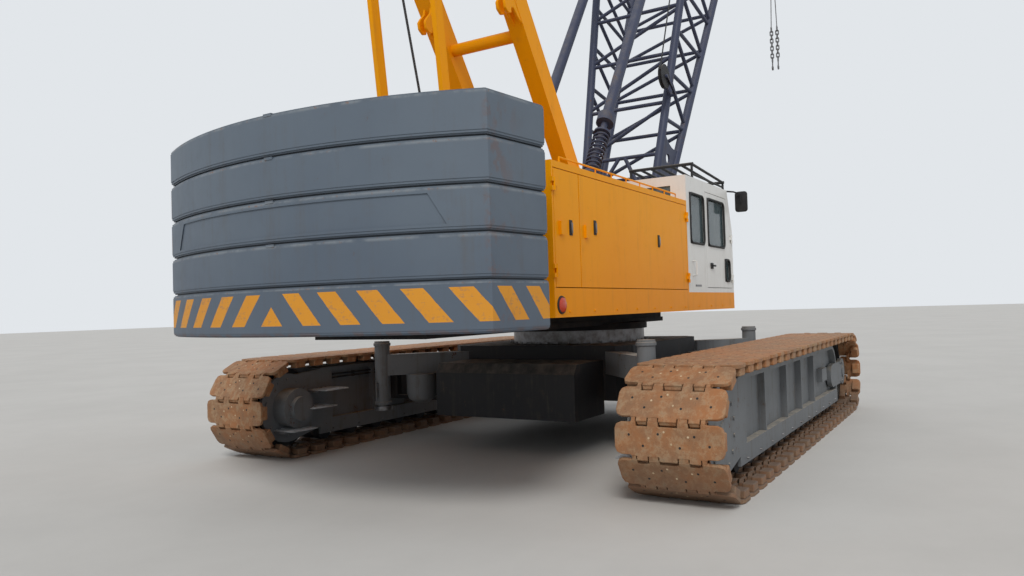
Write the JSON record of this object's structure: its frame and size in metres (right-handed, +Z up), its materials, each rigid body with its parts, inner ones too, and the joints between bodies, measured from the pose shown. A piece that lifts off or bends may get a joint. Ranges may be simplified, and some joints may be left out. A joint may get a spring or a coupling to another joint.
{
  "type": "crawler crane",
  "caption": "Lattice boom crawler crane with slewing upper works, side cab, rear gantry, slab counterweight, backstops, main stays and a hook block with a sling.",
  "frame": {"origin": "on the ground, under the middle of the whole object's length and width, on its centre plane", "axes": "+X towards the boom's side, the machine's front, +Y to the machine's left, +Z up"},
  "size_m": [18.2194, 6.074, 27.3699],
  "materials": {
    "yellow_paint": "worn gloss paint",
    "grey_paint": "dusty satin paint",
    "slate_paint": "matt paint on cast slabs",
    "boom_paint": "satin paint",
    "dark_paint": "greasy dark paint",
    "shoe_steel": "rusty worn steel",
    "white_paint": "gloss paint",
    "cab_glazing": "tinted glass",
    "bright_steel": "greased steel",
    "rope_steel": "greased wire rope",
    "seat_cloth": "woven cloth"
  },
  "bodies": {
    "lower_works": {"carbody": "dark_paint", "axle_beams": "dark_paint", "carbody_weights": "dark_paint", "swing_bearing": "bright_steel", "jack_outriggers": "dark_paint", "track_frame_left": "grey_paint", "track_frame_right": "grey_paint", "track_left": "shoe_steel", "track_right": "shoe_steel", "rollers": "dark_paint", "drive_wheels": "dark_paint", "idlers": "dark_paint"},
    "upper_works": {"revolving_frame": "yellow_paint", "house_left": "yellow_paint", "house_right": "yellow_paint", "engine": "dark_paint", "winches": "grey_paint", "cab": "white_paint", "cab_glass": "cab_glazing", "cab_seat": "seat_cloth", "roof_guard": "dark_paint", "counterweight_base": "slate_paint", "counterweight_slabs": "slate_paint", "gantry_legs": "yellow_paint", "gantry_links": "yellow_paint", "gantry_sheaves": "grey_paint"},
    "boom": {"boom_butt": "boom_paint", "boom_middle": "boom_paint", "boom_head": "boom_paint", "head_sheaves": "grey_paint", "main_stays": "rope_steel"},
    "hoist_line": {"hoist_falls": "rope_steel", "hook_block": "yellow_paint"},
    "hook": {"hook": "dark_paint", "sling": "bright_steel"},
    "luffing_ropes": {"luffing_ropes": "rope_steel"},
    "bridle": {"stay_bridle": "grey_paint"},
    "backstop_rods": {"backstop_rods": "boom_paint"},
    "backstop_tubes": {"backstop_tubes": "boom_paint"},
    "door_rear_right": {"door_rear_right": "yellow_paint"},
    "door_side_right": {"door_side_right": "yellow_paint"},
    "door_side_left": {"door_side_left": "yellow_paint"},
    "cab_door": {"cab_door": "white_paint"},
    "jack_rod_front_left": {"jack_rod_front_left": "bright_steel"},
    "jack_rod_front_right": {"jack_rod_front_right": "bright_steel"},
    "jack_rod_rear_left": {"jack_rod_rear_left": "bright_steel"},
    "jack_rod_rear_right": {"jack_rod_rear_right": "bright_steel"}
  },
  "joints": [
    {"name": "swing", "type": "hinge", "parent": "lower_works", "child": "upper_works", "pos_m": [-3.61357, 0, 1.36], "axis": [0, 0, 1], "continuous": true},
    {"name": "luff", "type": "hinge", "parent": "upper_works", "child": "boom", "pos_m": [-2.49357, 0, 1.9], "axis": [0, -1, 0], "range_deg": [-36, 14]},
    {"name": "hoist_level", "type": "hinge", "parent": "boom", "child": "hoist_line", "pos_m": [8.56357, 0, 26.96989], "axis": [0, -1, 0], "range_deg": [-14, 36]},
    {"name": "hook_swivel", "type": "hinge", "parent": "hoist_line", "child": "hook", "pos_m": [8.94087, 0, 11.4], "axis": [0, 0, 1], "continuous": true},
    {"name": "stay_swing", "type": "hinge", "parent": "upper_works", "child": "luffing_ropes", "pos_m": [-7.51357, 0, 7.2], "axis": [0, -1, 0], "range_deg": [-35.6, 14.15]},
    {"name": "stay_run", "type": "slide", "parent": "luffing_ropes", "child": "bridle", "axis": [0.6232, 0, 0.782], "range_m": [-1.743, 4.45]},
    {"name": "backstop_swing", "type": "hinge", "parent": "upper_works", "child": "backstop_rods", "pos_m": [-4.49357, 0, 2.88], "axis": [0, -1, 0], "range_deg": [-32.9, 13.1]},
    {"name": "backstop_run", "type": "slide", "parent": "backstop_rods", "child": "backstop_tubes", "axis": [0.5599, 0, 0.8286], "range_m": [-0.521, 1.308]},
    {"name": "cab_door_hinge", "type": "hinge", "parent": "upper_works", "child": "cab_door", "pos_m": [-1.78357, -1.615, 2.4], "axis": [0, 0, 1], "range_deg": [0, 95]},
    {"name": "rear_door_hinge", "type": "hinge", "parent": "upper_works", "child": "door_rear_right", "pos_m": [-7.21357, -1.615, 2.4], "axis": [0, 0, -1], "range_deg": [0, 100]},
    {"name": "right_side_door_hinge", "type": "hinge", "parent": "upper_works", "child": "door_side_right", "pos_m": [-3.72357, -1.615, 2.4], "axis": [0, 0, 1], "range_deg": [0, 100]},
    {"name": "left_side_door_hinge", "type": "hinge", "parent": "upper_works", "child": "door_side_left", "pos_m": [-3.72357, 1.615, 2.4], "axis": [0, 0, -1], "range_deg": [0, 100]},
    {"name": "jack_front_left", "type": "slide", "parent": "lower_works", "child": "jack_rod_front_left", "axis": [0, 0, -1], "range_m": [0, 0.6]},
    {"name": "jack_front_right", "type": "slide", "parent": "lower_works", "child": "jack_rod_front_right", "axis": [0, 0, -1], "range_m": [0, 0.6]},
    {"name": "jack_rear_left", "type": "slide", "parent": "lower_works", "child": "jack_rod_rear_left", "axis": [0, 0, -1], "range_m": [0, 0.6]},
    {"name": "jack_rear_right", "type": "slide", "parent": "lower_works", "child": "jack_rod_rear_right", "axis": [0, 0, -1], "range_m": [0, 0.6]}
  ],
  "couplings": [
    {"joint": "hoist_level", "follows": "luff", "ratio": -1},
    {"joint": "stay_swing", "follows": "luff", "ratio": 0.975},
    {"joint": "stay_run", "follows": "luff", "m_per_rad": -7.05},
    {"joint": "backstop_swing", "follows": "luff", "ratio": 0.9},
    {"joint": "backstop_run", "follows": "luff", "m_per_rad": -2.05}
  ]
}
